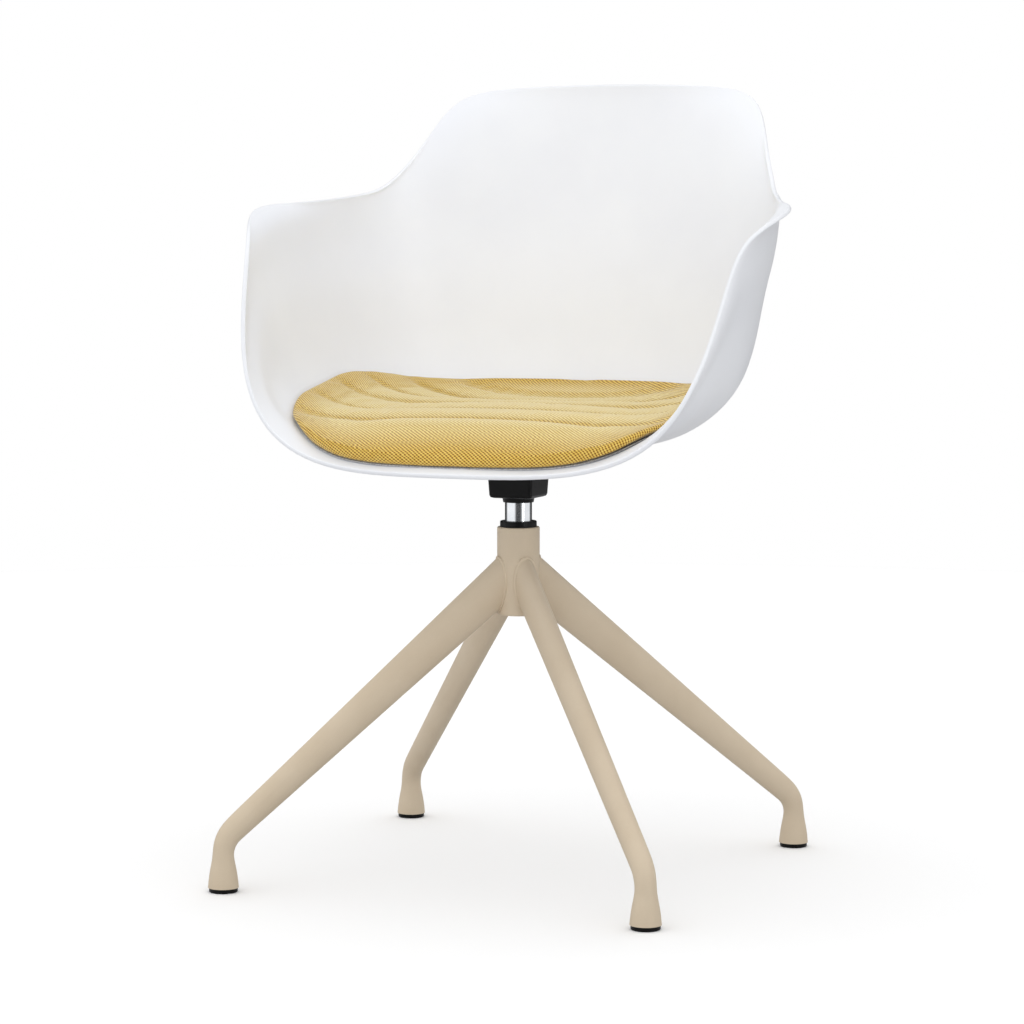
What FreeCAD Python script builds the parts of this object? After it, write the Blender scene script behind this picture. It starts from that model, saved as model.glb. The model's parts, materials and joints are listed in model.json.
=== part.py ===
import FreeCAD, Part
import math
import os

# Swivel dining chair: a moulded plastic armchair shell with a loose quilted seat pad,
# carried by a short steel spindle that turns in the hub of a four-legged steel base.
# Millimetres, +Z up, the seat's front towards -Y, origin on the floor under the swivel axis.

Vector = FreeCAD.Vector
UP = Vector(0, 0, 1)
# cutting shapes run this far past the faces they cut, and closer lengths than NEAR count as equal
PAST = 1.0
NEAR = 0.01

# Base: hub, legs and feet
HUB_RADIUS = 22.0
HUB_BORE = 17.0
HUB_BOTTOM = 266.5
HUB_TOP = 357.5
HUB_EDGE = 0.8
LEG_COUNT = 4
FIRST_LEG_TURN = 45.0
FOOT_REACH = 320.5
LEG_START = 8.8
LEG_HUB_Z = 299.0
KNEE_Z = 53.0
KNEE_RADIUS = 30.0
LEG_WALL = 1.8
LEG_HUB_WIDTH, LEG_HUB_DEPTH = 23.4, 43.4
LEG_KNEE_WIDTH, LEG_KNEE_DEPTH = 22.0, 25.0
ANKLE_DIAMETER = 21.2
FOOT_DIAMETER = 31.0
# rings of the leg, as shares of its straight stretch, of its knee, and of its foot
# with the share of the foot's flare that is reached there
STRAIGHT_RINGS = (0.0, 0.2, 0.4, 0.6, 0.8, 0.95, 1.0)
KNEE_RINGS = (0.33, 0.67, 1.0)
FOOT_RINGS = ((0.2, 0.14), (0.45, 0.52), (0.75, 0.87), (1.0, 1.0))
WELD_RINGS = 4
WELD_SIZE = 1.6
LEG_FACETS = 16
# control points of a smooth ring stand this much further out than the ring itself
POLE_REACH = 3 / (2 + math.cos(2 * math.pi / LEG_FACETS))
GLIDE_HEIGHT = 4.5
GLIDE_RADIUS = 14.5
GLIDE_EDGE = 1.2
PLUG_BOTTOM_RADIUS, PLUG_TOP_RADIUS = 12.6, 11.8
PLUG_HEIGHT = 8.0

# Swivel: spindle, bushes and thrust bearing
SPINDLE_RADIUS = 14.0
SPINDLE_EDGE = 1.0
RUNNING_CLEARANCE = 0.05
STUB_RADIUS = 5.0
STUB_CLEARANCE = 0.3
STUB_TAIL = 0.5
UPPER_BUSH_LENGTH = 28.0
LOWER_BUSH_BOTTOM = 290.0
LOWER_BUSH_LENGTH = 22.0
BUSH_FLANGE_RADIUS = 19.0
BUSH_FLANGE_HEIGHT = 6.2
BUSH_EDGE = 1.2
HUB_FLOOR_BOTTOM = 269.5
HUB_FLOOR_THICKNESS = 5.0
RACE_THICKNESS = 1.5
LOWER_RACE_BORE = 6.5
UPPER_RACE_RADIUS = 14.0
BALL_RADIUS = 2.0
BALL_COUNT = 10
BALL_CIRCLE = 10.5
BALL_GAP = 0.02
CAGE_THICKNESS = 1.6
CAGE_RIM = 2.9
WASHER_GAP = 0.1
WASHER_THICKNESS = 1.0
WASHER_RADIUS = 10.0
CLIP_THICKNESS = 1.0
CLIP_RADIUS = 8.0
CLIP_MOUTH = 5.2
GROOVE_DEPTH = 0.8

# Seat support: collar, housing, socket, plate and fasteners
COLLAR_BOTTOM = 383.0
COLLAR_RADIUS = 16.8
COLLAR_TAPER = 1.0
HOUSING_BOTTOM = 388.0
HOUSING_BOTTOM_SIDE, HOUSING_TOP_SIDE = 47.4, 51.0
HOUSING_EDGE = 3.0
# the rounded lower edge passes this share of its size in from the side, this share up
HOUSING_ROUND_IN, HOUSING_ROUND_UP = 0.3, 0.3
HOUSING_WALL = 2.5
HOUSING_CORNER = 3.5
HOUSING_CLEARANCE = 0.3
PLATE_BOTTOM = 423.0
PLATE_THICKNESS = 4.0
PLATE_SIDE = 140.0
PLATE_CORNER = 15.0
SOCKET_RADIUS = 19.0
SOCKET_BOTTOM = 392.0
BOLT_SPACING = 100.0
BOLT_RADIUS = 3.0
BOLT_HOLE_RADIUS = 3.3
BOLT_HEAD_RADIUS, BOLT_HEAD_HEIGHT = 5.5, 3.5
BOLT_HEAD_EDGE = 1.6
BOLT_TIP_GAP = 1.0
HEX_SIZE, HEX_DEPTH = 4.0, 2.1
BOLT_WASHER_RADIUS, BOLT_WASHER_THICKNESS = 6.0, 1.2
INSERT_RADIUS, INSERT_LENGTH = 4.0, 9.0
INSERT_END_GAP = 1.0
BOSS_RADIUS = 8.0

# Shell: one moulded wall from the seat floor up to a rounded rim
SHELL_WALL = 5.0
SHELL_BOTTOM_Z = 440.0
SEAT_FLOOR_Z = SHELL_BOTTOM_Z + SHELL_WALL
FLOOR_HALF_WIDTH, FLOOR_HALF_DEPTH = 88.0, 84.0
FLOOR_RINGS = (0.84, 0.92, 1.0)
WALL_FOOT_SIDE, WALL_FOOT_BACK, WALL_FOOT_FRONT = 232.0, 186.0, 520.0
WALL_FOOT_POWER = 2.3
WALL_STARTS, WALL_FULL = -10.0, 180.0
LIP_FOOT_SHARE = 0.55
BEND_IN_SHARE = 0.95
BEND_UP, BEND_UP_SHARE = 168.0, 0.62
# rings of the bend: the two before the wall's foot, the first one's share of the bowl, the one after it
BEND_FAR, BEND_NEAR, BEND_FAR_BOWL, BEND_AFTER = 0.78, 0.4, 0.2, 0.4
BOWL_RISE_SIDE, BOWL_RISE_BACK = 12.0, 14.0
WALL_BELLY = 5.0
ARM_FLARE, ARM_FLARE_LOW, ARM_FLARE_HIGH = 17.0, 560.0, 670.0
ARM_FLARE_Y, ARM_FLARE_SPREAD = 5.0, 75.0
RIM_FLARE, RIM_FLARE_LOW, RIM_FLARE_HIGH = 3.0, 600.0, 680.0
# rings of the wall above its bend: share of the way to the rim, share of the flare, share of the belly
WALL_RINGS = ((0.35, 0.0, 1.0), (0.65, 0.0, 1.0), (0.86, 0.2, 0.6), (0.955, 0.65, 0.2), (1.0, 1.0, 0.0))
# how far each ring, from the floor to the rim, is evened out where the wall is tall
RING_EVENING = (0.0, 0.0, 0.0, 0.3, 0.6, 1.0, 1.0, 1.0, 1.0, 0.6, 0.25, 0.0)
EVENING_PASSES = 14
EVENING_LET_OUT = 14.5
EVENING_LOW, EVENING_HIGH = 600.0, 700.0

# Rim stations (x, y, z) of the right half, from the middle of the front lip round to the
# middle of the back's top edge: front corner, arm front edge, arm tip, arm top, shoulder, back
RIM_STATIONS = [
    (0, -176, 420.5), (70, -174, 421), (126, -168, 425.5), (174, -160, 438.5), (211, -153, 463),
    (236, -144, 498), (252, -130, 540), (262, -110, 590), (270, -86, 638), (282, -57, 661),
    (295, -20, 677), (288, 8, 685), (268, 48, 690), (249, 98, 695), (231, 139, 703),
    (219, 167, 716), (204, 194, 742), (188, 222, 775), (166, 243, 802), (124, 248, 812),
    (62, 250, 816), (0, 251, 817)]

# Seat pad: a dished cushion with sewn channels that run across the seat
PAD_HALF_WIDTH = 219.0
PAD_FRONT, PAD_BACK = -166.0, 173.0
PAD_FRONT_POWER, PAD_BACK_POWER = 3.3, 2.15
PAD_CROWN = 38.0
PAD_EDGE = 5.0
# the crown falls to the edge as (1 - share ** full) ** fall
CROWN_FRONT, CROWN_BACK = (2.0, 0.7), (3.6, 0.62)
PAD_LIFT = 2.0
PAD_GAP = 1.0
PAD_BOW = 0.4
SEAT_PASSES = 12
EDGE_SWELL = 0.3
SECTION_SHARES = (0.0, 0.55, 0.8, 1.0)
FRONT_ROWS = (1.5, 5.0, 12.0, 24.0, 40.0)
BACK_ROWS = (18.0, 8.0, 1.5)
CHANNEL_ROWS = (0.0, 0.25, 0.75)
SEAMS = [-98.0, -42.0, 14.0, 62.0, 104.0, 138.0]
SEAM_DEPTH = 5.0
SEAM_FULL_AT = 15.0
SEAM_POWER = 3
SEAM_FADE = 25.0
BACKING_THICKNESS = 1.8
BACKING_INSET = 4.0
TAB_RADIUS, TAB_THICKNESS = 15.0, 1.5
TAB_X, TAB_Y = 40.0, 32.0


def disc(radius, bottom, height, x=0.0, y=0.0):
    return Part.makeCylinder(radius, height, Vector(x, y, bottom))


def ring(outer, inner, bottom, height, x=0.0, y=0.0):
    return disc(outer, bottom, height, x, y).cut(disc(inner, bottom - PAST, height + 2 * PAST, x, y))


def turned(shape, degrees):
    copy = shape.copy()
    copy.rotate(Vector(0, 0, 0), UP, degrees)
    return copy


def corners(half_x, half_y):
    return [(sx * half_x, sy * half_y) for sx in (-1, 1) for sy in (-1, 1)]


def smooth_step(t):
    t = max(0.0, min(1.0, t))
    return t * t * (3 - 2 * t)


def square_wire(side, corner, z):
    reach = side / 2
    flat = reach - corner
    edges = []
    for quarter in range(4):
        turn = quarter * 90.0
        line = Part.makeLine(Vector(reach, -flat, z), Vector(reach, flat, z))
        arc = Part.makeCircle(corner, Vector(flat, flat, z), UP, 0, 90)
        edges += [turned(line, turn), turned(arc, turn)]
    return Part.Wire(edges)


# A smooth closed wall: the grid's columns stand round it and its rows run along it

def ring_surface(grid):
    columns, rows = len(grid), len(grid[0])
    ends = [4] + [1] * (rows - 4) + [4]
    surface = Part.BSplineSurface()
    surface.buildFromPolesMultsKnots(
        grid, [1] * (columns + 1), ends, list(range(columns + 1)), list(range(rows - 2)), True, False, 3, 3)
    return surface


def ring_solid(grid):
    wall = ring_surface(grid).toShape()
    flats = [Part.Face(Part.Wire(edge)) for edge in wall.Edges if edge.isClosed()]
    skin = Part.makeShell([wall] + flats)
    skin.sewShape()
    solid = Part.makeSolid(skin)
    if solid.Volume < 0:
        solid.reverse()
    return solid


# Legs: one oval tube, straight from the hub, bent at the knee and flared at the foot

def leg_path():
    slope = math.atan2(LEG_HUB_Z - KNEE_Z, FOOT_REACH - HUB_RADIUS)
    turn = math.pi / 2 - slope
    tangent = KNEE_RADIUS * math.tan(turn / 2)
    knee_r = FOOT_REACH - tangent * math.cos(slope)
    knee_z = KNEE_Z + tangent * math.sin(slope)
    return slope, turn, knee_r, knee_z, KNEE_Z - tangent


def leg_stations():
    slope, turn, knee_r, knee_z, ankle_z = leg_path()
    stations = []
    for share in STRAIGHT_RINGS:
        r = LEG_START + share * (knee_r - LEG_START)
        z = knee_z + (knee_r - r) * math.tan(slope)
        width = LEG_HUB_WIDTH + share * (LEG_KNEE_WIDTH - LEG_HUB_WIDTH)
        depth = LEG_HUB_DEPTH + share * (LEG_KNEE_DEPTH - LEG_HUB_DEPTH)
        stations.append((r, z, slope, width, depth))
    for share in KNEE_RINGS:
        angle = slope + share * turn
        r = FOOT_REACH - KNEE_RADIUS * (1 - math.sin(angle))
        z = ankle_z + KNEE_RADIUS * math.cos(angle)
        width = LEG_KNEE_WIDTH + share * (ANKLE_DIAMETER - LEG_KNEE_WIDTH)
        depth = LEG_KNEE_DEPTH + share * (ANKLE_DIAMETER - LEG_KNEE_DEPTH)
        stations.append((r, z, angle, width, depth))
    for share, opening in FOOT_RINGS:
        z = ankle_z + share * (GLIDE_HEIGHT - ankle_z)
        diameter = ANKLE_DIAMETER + opening * (FOOT_DIAMETER - ANKLE_DIAMETER)
        stations.append((FOOT_REACH, z, math.pi / 2, diameter, diameter))
    return stations


def leg_solid(grow, stations):
    grid = []
    for step in range(LEG_FACETS):
        a = 2 * math.pi * step / LEG_FACETS
        column = []
        for r, z, angle, width, depth in stations:
            side = POLE_REACH * (width / 2 + grow) * math.cos(a)
            rise = POLE_REACH * (depth / 2 + grow) * math.sin(a)
            column.append(Vector(r + rise * math.sin(angle), side, z + rise * math.cos(angle)))
        grid.append(column)
    return ring_solid(grid)


def make_leg():
    stations = leg_stations()
    foot = stations[-1]
    below_foot = (foot[0], foot[1] - PAST) + foot[2:]
    hub_space = disc(HUB_RADIUS, 0, HUB_TOP)
    outside = leg_solid(0.0, stations)
    leg = outside.cut(leg_solid(-LEG_WALL, stations + [below_foot])).cut(hub_space)
    bead_ring = ring(HUB_RADIUS + WELD_SIZE, HUB_RADIUS, HUB_BOTTOM, HUB_TOP - HUB_BOTTOM)
    bead = leg_solid(WELD_SIZE, stations[:WELD_RINGS]).common(bead_ring).cut(outside)
    return leg, bead


def make_glide():
    flange = disc(GLIDE_RADIUS, 0, GLIDE_HEIGHT, FOOT_REACH)
    rounded = [edge for edge in flange.Edges if abs(edge.BoundBox.ZMax) < NEAR]
    flange = flange.makeFillet(GLIDE_EDGE, rounded)
    seat = Vector(FOOT_REACH, 0, GLIDE_HEIGHT)
    plug = Part.makeCone(PLUG_BOTTOM_RADIUS, PLUG_TOP_RADIUS, PLUG_HEIGHT, seat)
    return flange.fuse(plug).removeSplitter()


# Hub and swivel

def make_hub():
    hub = ring(HUB_RADIUS, HUB_BORE, HUB_BOTTOM, HUB_TOP - HUB_BOTTOM)
    rims = [edge for edge in hub.Edges if abs(edge.Length - 2 * math.pi * HUB_RADIUS) < NEAR]
    return hub.makeChamfer(HUB_EDGE, rims)


def make_upper_bush():
    bore = SPINDLE_RADIUS + RUNNING_CLEARANCE
    sleeve = ring(HUB_BORE, bore, HUB_TOP - UPPER_BUSH_LENGTH, UPPER_BUSH_LENGTH)
    flange = ring(BUSH_FLANGE_RADIUS, bore, HUB_TOP, BUSH_FLANGE_HEIGHT)
    bore_length = 2 * math.pi * bore
    upper = [edge for edge in flange.Edges if edge.BoundBox.ZMin > HUB_TOP + NEAR]
    top = [edge for edge in upper if edge.Length > bore_length + NEAR]
    return sleeve.fuse(flange.makeFillet(BUSH_EDGE, top)).removeSplitter()


def make_bearing():
    floor_top = HUB_FLOOR_BOTTOM + HUB_FLOOR_THICKNESS
    ball_z = floor_top + RACE_THICKNESS + BALL_GAP + BALL_RADIUS
    upper_z = ball_z + BALL_RADIUS + BALL_GAP
    lower = ring(HUB_BORE, LOWER_RACE_BORE, floor_top, RACE_THICKNESS)
    upper = ring(UPPER_RACE_RADIUS, STUB_RADIUS, upper_z, RACE_THICKNESS)
    cage_z = ball_z - CAGE_THICKNESS / 2
    cage = ring(BALL_CIRCLE + CAGE_RIM, BALL_CIRCLE - CAGE_RIM, cage_z, CAGE_THICKNESS)
    pocket = disc(BALL_RADIUS + RUNNING_CLEARANCE, cage_z - PAST, CAGE_THICKNESS + 2 * PAST, BALL_CIRCLE)
    balls = []
    for step in range(BALL_COUNT):
        turn = 360.0 * step / BALL_COUNT
        balls.append(turned(Part.makeSphere(BALL_RADIUS, Vector(BALL_CIRCLE, 0, ball_z)), turn))
        cage = cage.cut(turned(pocket, turn))
    return lower, upper, cage, Part.makeCompound(balls), upper_z + RACE_THICKNESS


def make_spindle(shoulder_z, clip_z):
    top = PLATE_BOTTOM + PLATE_THICKNESS
    stub_end = clip_z - STUB_TAIL
    shaft = disc(SPINDLE_RADIUS, shoulder_z, top - shoulder_z)
    ends = [edge for edge in shaft.Edges if len(edge.Vertexes) == 1 and edge.BoundBox.ZLength < NEAR]
    shaft = shaft.makeChamfer(SPINDLE_EDGE, ends)
    stub = disc(STUB_RADIUS, stub_end, shoulder_z - stub_end)
    groove = ring(STUB_RADIUS + PAST, STUB_RADIUS - GROOVE_DEPTH, clip_z, CLIP_THICKNESS)
    return shaft.fuse(stub.cut(groove)).removeSplitter()


def make_clip(clip_z):
    clip = ring(CLIP_RADIUS, STUB_RADIUS - GROOVE_DEPTH, clip_z, CLIP_THICKNESS)
    corner = Vector(0, -CLIP_MOUTH / 2, clip_z - PAST)
    mouth = Part.makeBox(CLIP_RADIUS + PAST, CLIP_MOUTH, CLIP_THICKNESS + 2 * PAST, corner)
    return clip.cut(mouth)


# Seat support

def make_collar():
    height = HOUSING_BOTTOM - COLLAR_BOTTOM
    cone = Part.makeCone(COLLAR_RADIUS - COLLAR_TAPER, COLLAR_RADIUS, height, Vector(0, 0, COLLAR_BOTTOM))
    return cone.cut(disc(SPINDLE_RADIUS, COLLAR_BOTTOM - PAST, height + 2 * PAST))


def housing_block(inset, bottom_z, top_z):
    # the lower edge is rounded by two narrower sections
    round_in, round_up = HOUSING_ROUND_IN * HOUSING_EDGE, HOUSING_ROUND_UP * HOUSING_EDGE
    sections = (
        (HOUSING_BOTTOM_SIDE - 2 * HOUSING_EDGE, bottom_z),
        (HOUSING_BOTTOM_SIDE - 2 * round_in, bottom_z + round_up),
        (HOUSING_BOTTOM_SIDE, bottom_z + HOUSING_EDGE),
        (HOUSING_TOP_SIDE, top_z))
    wires = [square_wire(side - 2 * inset, HOUSING_CORNER, z) for side, z in sections]
    return Part.makeLoft(wires, True, True)


def make_housing():
    outside = housing_block(0.0, HOUSING_BOTTOM, PLATE_BOTTOM)
    inside = housing_block(HOUSING_WALL, HOUSING_BOTTOM + HOUSING_WALL, PLATE_BOTTOM + PAST)
    passage = disc(SPINDLE_RADIUS + HOUSING_CLEARANCE, HOUSING_BOTTOM - PAST, HOUSING_WALL + 2 * PAST)
    return outside.cut(inside).cut(passage)


def bolt_places():
    return corners(BOLT_SPACING / 2, BOLT_SPACING / 2)


def make_plate():
    plate = Part.Face(square_wire(PLATE_SIDE, PLATE_CORNER, PLATE_BOTTOM)).extrude(UP * PLATE_THICKNESS)
    plate = plate.cut(disc(SOCKET_RADIUS, PLATE_BOTTOM - PAST, PLATE_THICKNESS + 2 * PAST))
    for x, y in bolt_places():
        plate = plate.cut(disc(BOLT_HOLE_RADIUS, PLATE_BOTTOM - PAST, PLATE_THICKNESS + 2 * PAST, x, y))
    return plate


def make_bolt(x, y):
    head_top = PLATE_BOTTOM - BOLT_WASHER_THICKNESS
    head_bottom = head_top - BOLT_HEAD_HEIGHT
    tip = PLATE_BOTTOM + PLATE_THICKNESS + INSERT_LENGTH - BOLT_TIP_GAP
    head = disc(BOLT_HEAD_RADIUS, head_bottom, BOLT_HEAD_HEIGHT, x, y)
    low = [edge for edge in head.Edges if edge.BoundBox.ZMax < head_bottom + NEAR]
    head = head.makeFillet(BOLT_HEAD_EDGE, low)
    reach = HEX_SIZE / 2 / math.cos(math.radians(30))
    hexagon = []
    for step in range(7):
        a = math.radians(60 * step)
        hexagon.append(Vector(x + reach * math.cos(a), y + reach * math.sin(a), head_bottom - PAST))
    socket = Part.Face(Part.makePolygon(hexagon)).extrude(UP * (PAST + HEX_DEPTH))
    return head.cut(socket).fuse(disc(BOLT_RADIUS, head_top, tip - head_top, x, y)).removeSplitter()


# Shell

def rim_ring():
    right = [Vector(*station) for station in RIM_STATIONS]
    left = [Vector(-p.x, p.y, p.z) for p in right[-2:0:-1]]
    points = right + left
    poles = []
    for i, point in enumerate(points):
        bend = points[i - 1] - point * 2 + points[(i + 1) % len(points)]
        # each control point is pushed out a little, so that the smooth rim passes through the stations
        poles.append(point - bend * (1 / 6))
    return poles


def wall_foot(across, along):
    depth = WALL_FOOT_BACK if along > 0 else WALL_FOOT_FRONT
    side = abs(across / WALL_FOOT_SIDE) ** WALL_FOOT_POWER
    return (side + abs(along / depth) ** WALL_FOOT_POWER) ** (-1 / WALL_FOOT_POWER)


def rim_flare(rim):
    near_tip = math.exp(-((rim.y - ARM_FLARE_Y) / ARM_FLARE_SPREAD) ** 2)
    arm = smooth_step((rim.z - ARM_FLARE_LOW) / (ARM_FLARE_HIGH - ARM_FLARE_LOW))
    edge = smooth_step((rim.z - RIM_FLARE_LOW) / (RIM_FLARE_HIGH - RIM_FLARE_LOW))
    return ARM_FLARE * near_tip * arm + RIM_FLARE * edge


def wall_profile(rim):
    # control points of the outer face, from the seat floor to the rim, in the rim point's upright plane
    reach = math.hypot(rim.x, rim.y)
    across, along = rim.x / reach, rim.y / reach
    height = rim.z - SHELL_BOTTOM_Z
    flare = rim_flare(rim)
    floor = 1 / math.hypot(across / FLOOR_HALF_WIDTH, along / FLOOR_HALF_DEPTH)
    walled = smooth_step((height - WALL_STARTS) / (WALL_FULL - WALL_STARTS))
    lip_foot = floor + LIP_FOOT_SHARE * (reach - floor)
    foot = lip_foot + walled * (wall_foot(across, along) - lip_foot)
    run = reach - flare - foot
    length = math.hypot(run, height)
    out, rise = run / length, height / length
    bend_in = BEND_IN_SHARE * (foot - floor)
    bend_up = min(BEND_UP, BEND_UP_SHARE * length)
    bowl = walled * (BOWL_RISE_SIDE + (BOWL_RISE_BACK - BOWL_RISE_SIDE) * smooth_step(along))
    points = [(share * floor, 0.0) for share in FLOOR_RINGS]
    points += [
        (foot - BEND_FAR * bend_in, BEND_FAR_BOWL * bowl), (foot - BEND_NEAR * bend_in, bowl),
        (foot + BEND_AFTER * bend_up * out, BEND_AFTER * bend_up * rise),
        (foot + bend_up * out, bend_up * rise)]
    for share, flared, bellied in WALL_RINGS:
        along_wall = bend_up + share * (length - bend_up)
        swell = flared * flare + bellied * walled * WALL_BELLY
        points.append((foot + along_wall * out + swell, along_wall * rise))
    return [Vector(across * r, along * r, SHELL_BOTTOM_Z + z) for r, z in points]


def in_plan(v):
    return Vector(v.x, v.y, 0)


def evened(columns):
    # the rings below a tall rim are evened out in plan, so that the arms turn broadly into the back,
    # and are let out again by as much as that draws them in
    tallness = []
    for column in columns:
        tallness.append(smooth_step((column[-1].z - EVENING_LOW) / (EVENING_HIGH - EVENING_LOW)))
    for _ in range(EVENING_PASSES):
        before, columns = columns, []
        for i, tall in enumerate(tallness):
            left, column, right = before[i - 1], before[i], before[(i + 1) % len(before)]
            columns.append([
                p + in_plan((a + b) * 0.5 - p) * (tall * share / 2)
                for a, p, b, share in zip(left, column, right, RING_EVENING)])
    for column, tall in zip(columns, tallness):
        for j, share in enumerate(RING_EVENING):
            column[j] = column[j] + unit(in_plan(column[j])) * (EVENING_LET_OUT * tall * share)
    return columns


def unit(v):
    return v * (1 / v.Length)


def shell_grid():
    outer = evened([wall_profile(rim) for rim in rim_ring()])
    columns, last = len(outer), len(outer[0]) - 1
    inner, grid = [], []
    for i, column in enumerate(outer):
        inside = []
        for j, point in enumerate(column):
            around = outer[(i + 1) % columns][j] - outer[i - 1][j]
            upward = column[min(j + 1, last)] - column[max(j - 1, 0)]
            outward = unit(around.cross(upward))
            inside.append(point - outward * SHELL_WALL)
        beyond = unit(outward.cross(around)) * (SHELL_WALL / 2)
        inner.append(inside)
        grid.append(inside + [inside[last] + beyond, column[last] + beyond] + column[::-1])
    return inner, grid


def make_shell(grid):
    solid = ring_solid(grid)
    boss_bottom = PLATE_BOTTOM + PLATE_THICKNESS
    boss_top = SHELL_BOTTOM_Z + SHELL_WALL / 2
    hole_depth = INSERT_LENGTH + INSERT_END_GAP
    for x, y in bolt_places():
        solid = solid.fuse(disc(BOSS_RADIUS, boss_bottom, boss_top - boss_bottom, x, y))
        solid = solid.cut(disc(INSERT_RADIUS, boss_bottom - PAST, hole_depth + PAST, x, y))
    return solid.Solids[0]


# Seat pad

class SeatHeight:
    def __init__(self, inner):
        self.surface = ring_surface(inner)

    def at(self, x, y):
        if math.hypot(x / FLOOR_HALF_WIDTH, y / FLOOR_HALF_DEPTH) < FLOOR_RINGS[0]:
            return SEAT_FLOOR_Z
        point = Vector(x, y, SEAT_FLOOR_Z + PAD_CROWN / 2)
        for _ in range(SEAT_PASSES):
            u, v = self.surface.parameter(point)
            normal = self.surface.normal(u, v)
            gap = (self.surface.value(u, v) - point).dot(normal)
            point = point + UP * (gap / normal.z)
        return point.z


def pad_power(y):
    return PAD_FRONT_POWER if y < (PAD_FRONT + PAD_BACK) / 2 else PAD_BACK_POWER


def pad_depth_share(y, inset):
    half = (PAD_BACK - PAD_FRONT) / 2 - inset
    return min(1.0, abs(y - (PAD_FRONT + PAD_BACK) / 2) / half)


def pad_reach(y, inset):
    power = pad_power(y)
    return (PAD_HALF_WIDTH - inset) * (1 - pad_depth_share(y, inset) ** power) ** (1 / power)


def cushion_thickness(x, y):
    power = pad_power(y)
    full, fall = CROWN_FRONT if power == PAD_FRONT_POWER else CROWN_BACK
    share = (abs(x / PAD_HALF_WIDTH) ** power + pad_depth_share(y, 0.0) ** power) ** (1 / power)
    plain = PAD_EDGE + (PAD_CROWN - PAD_EDGE) * max(0.0, 1 - share ** full) ** fall
    return plain - seam_dip(y) * min(1.0, plain / SEAM_FULL_AT)


def backing_thickness(x, y):
    return BACKING_THICKNESS


def seam_dip(y):
    for near, far in zip(SEAMS, SEAMS[1:]):
        if near <= y <= far:
            return SEAM_DEPTH * abs(1 - 2 * (y - near) / (far - near)) ** SEAM_POWER
    beyond = min(abs(y - SEAMS[0]), abs(y - SEAMS[-1]))
    return SEAM_DEPTH * max(0.0, 1 - beyond / SEAM_FADE) ** 2


def arc_through(points):
    return Part.Arc(*points).toShape()


def pad_section(seat, y, low, thickness, inset):
    reach = pad_reach(y, inset)
    heights = [seat.at(share * reach, y) for share in SECTION_SHARES]
    # the middle of each section bows a little, so that its three points always make an arc
    heights[0] = min(heights[0], heights[1] - PAD_BOW)
    half = list(zip(SECTION_SHARES, heights))
    bottom, top = [], []
    for share, height in [(-share, height) for share, height in half[:0:-1]] + half:
        x, z = share * reach, height + low
        bottom.append(Vector(x, y, z))
        top.append(Vector(x, y, z + thickness(x, y)))
    edges = []
    for side, tip, next_tip in ((bottom, bottom[-1], top[-1]), (top[::-1], top[0], bottom[0])):
        edges += [arc_through(side[0:3]), arc_through(side[2:5]), arc_through(side[4:7])]
        swell = Vector(math.copysign(EDGE_SWELL * abs(next_tip.z - tip.z), tip.x), 0, 0)
        edges.append(arc_through((tip, (tip + next_tip) * 0.5 + swell, next_tip)))
    return Part.Wire(edges)


def pad_rows(inset):
    rows = [PAD_FRONT + inset + step for step in FRONT_ROWS]
    for near, far in zip(SEAMS, SEAMS[1:]):
        rows += [near + share * (far - near) for share in CHANNEL_ROWS]
    return rows + [SEAMS[-1]] + [PAD_BACK - inset - step for step in BACK_ROWS]


def make_pad_layer(seat, low, thickness, inset):
    return Part.makeLoft([pad_section(seat, y, low, thickness, inset) for y in pad_rows(inset)], True, True)


def make_base():
    parts = {}
    leg, bead = make_leg()
    glide = make_glide()
    beads = []
    for index, place in enumerate(("back_right", "back_left", "front_left", "front_right")):
        turn = FIRST_LEG_TURN + 360.0 / LEG_COUNT * index
        parts["leg_" + place] = turned(leg, turn)
        parts["glide_" + place] = turned(glide, turn)
        beads.append(turned(bead, turn))
    parts["hub_welds"] = Part.makeCompound(beads)
    parts["hub_tube"] = make_hub()
    parts["hub_floor"] = ring(HUB_BORE, STUB_RADIUS + STUB_CLEARANCE, HUB_FLOOR_BOTTOM, HUB_FLOOR_THICKNESS)
    return parts


def make_swivel():
    parts = {}
    lower, upper, cage, balls, shoulder_z = make_bearing()
    washer_z = HUB_FLOOR_BOTTOM - WASHER_GAP - WASHER_THICKNESS
    clip_z = washer_z - CLIP_THICKNESS
    bore = SPINDLE_RADIUS + RUNNING_CLEARANCE
    parts["upper_bush"] = make_upper_bush()
    parts["lower_bush"] = ring(HUB_BORE, bore, LOWER_BUSH_BOTTOM, LOWER_BUSH_LENGTH)
    parts["thrust_race_lower"] = lower
    parts["thrust_race_upper"] = upper
    parts["thrust_cage"] = cage
    parts["thrust_balls"] = balls
    parts["retaining_washer"] = ring(WASHER_RADIUS, STUB_RADIUS, washer_z, WASHER_THICKNESS)
    parts["retaining_clip"] = make_clip(clip_z)
    parts["swivel_spindle"] = make_spindle(shoulder_z, clip_z)
    return parts


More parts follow.
